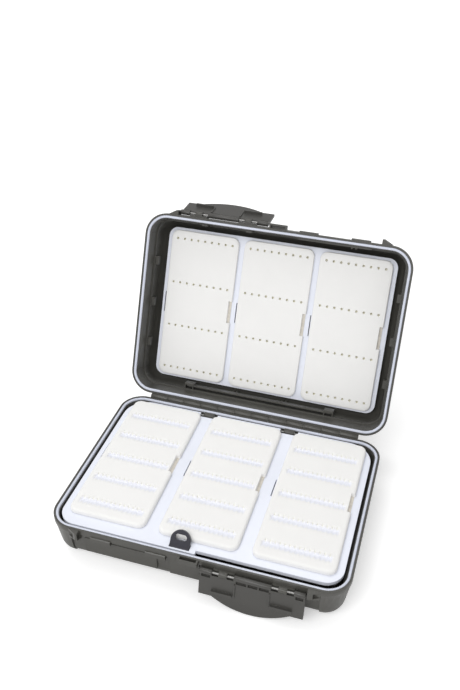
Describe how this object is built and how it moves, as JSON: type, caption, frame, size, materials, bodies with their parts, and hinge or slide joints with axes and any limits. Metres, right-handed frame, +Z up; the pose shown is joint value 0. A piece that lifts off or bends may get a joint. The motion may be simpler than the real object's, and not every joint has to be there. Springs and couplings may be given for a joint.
{
  "type": "fly box",
  "caption": "Hinged watertight fly box with slit foam pads on a swing-up page, drilled foam pads in the lid and flip latches.",
  "frame": {"origin": "centre of the underside of the base, midway between the rims front to back", "axes": "+Z up, +X along the hinge, +Y towards the hinge side, latches at -Y"},
  "size_m": [0.223, 0.265, 0.1825],
  "materials": {
    "case_plastic": "fine satin moulded",
    "latch_plastic": "satin moulded",
    "seal_rubber": "soft translucent white",
    "tray_plastic": "smooth white",
    "foam": "closed-cell foam, matt",
    "backing_sheet": "tan adhesive film",
    "ring_wire": "smooth black",
    "pin_steel": "bright drawn wire"
  },
  "bodies": {
    "base": {"base_shell": "case_plastic", "base_seal": "seal_rubber", "hinge_pin": "pin_steel", "base_latch_pin": "pin_steel", "page_pins": "pin_steel"},
    "lid": {"lid_shell": "case_plastic", "lid_seal": "seal_rubber", "lid_latch_pin": "pin_steel", "lid_tray": "tray_plastic", "hole_backing_left": "backing_sheet", "hole_backing_middle": "backing_sheet", "hole_backing_right": "backing_sheet", "hole_pad_left": "foam", "hole_pad_middle": "foam", "hole_pad_right": "foam"},
    "base_latch": {"base_latch": "latch_plastic"},
    "lid_latch": {"lid_latch": "latch_plastic"},
    "page": {"page": "tray_plastic", "slit_backing_left": "backing_sheet", "slit_backing_middle": "backing_sheet", "slit_backing_right": "backing_sheet", "slit_pad_left": "foam", "slit_pad_middle": "foam", "slit_pad_right": "foam"},
    "ring": {"pull_ring": "ring_wire"}
  },
  "joints": [
    {"name": "lid_hinge", "type": "hinge", "parent": "base", "child": "lid", "pos_m": [0, 0.0803, 0.034], "axis": [-1, 0, 0], "range_deg": [-113.5, 0]},
    {"name": "base_latch_hinge", "type": "hinge", "parent": "base", "child": "base_latch", "pos_m": [0.04605, -0.0806, 0.0284], "axis": [1, 0, 0], "range_deg": [-167, 0]},
    {"name": "lid_latch_hinge", "type": "hinge", "parent": "lid", "child": "lid_latch", "pos_m": [-0.04605, 0.14959, 0.17932], "axis": [-1, 0, 0], "range_deg": [-159, 11]},
    {"name": "page_hinge", "type": "hinge", "parent": "base", "child": "page", "pos_m": [0, 0.0712, 0.0317], "axis": [-1, 0, 0], "range_deg": [0, 90]},
    {"name": "ring_fold", "type": "hinge", "parent": "page", "child": "ring", "pos_m": [-0.0103, -0.07, 0.0319], "axis": [1, 0, 0], "range_deg": [-6, 48]}
  ]
}
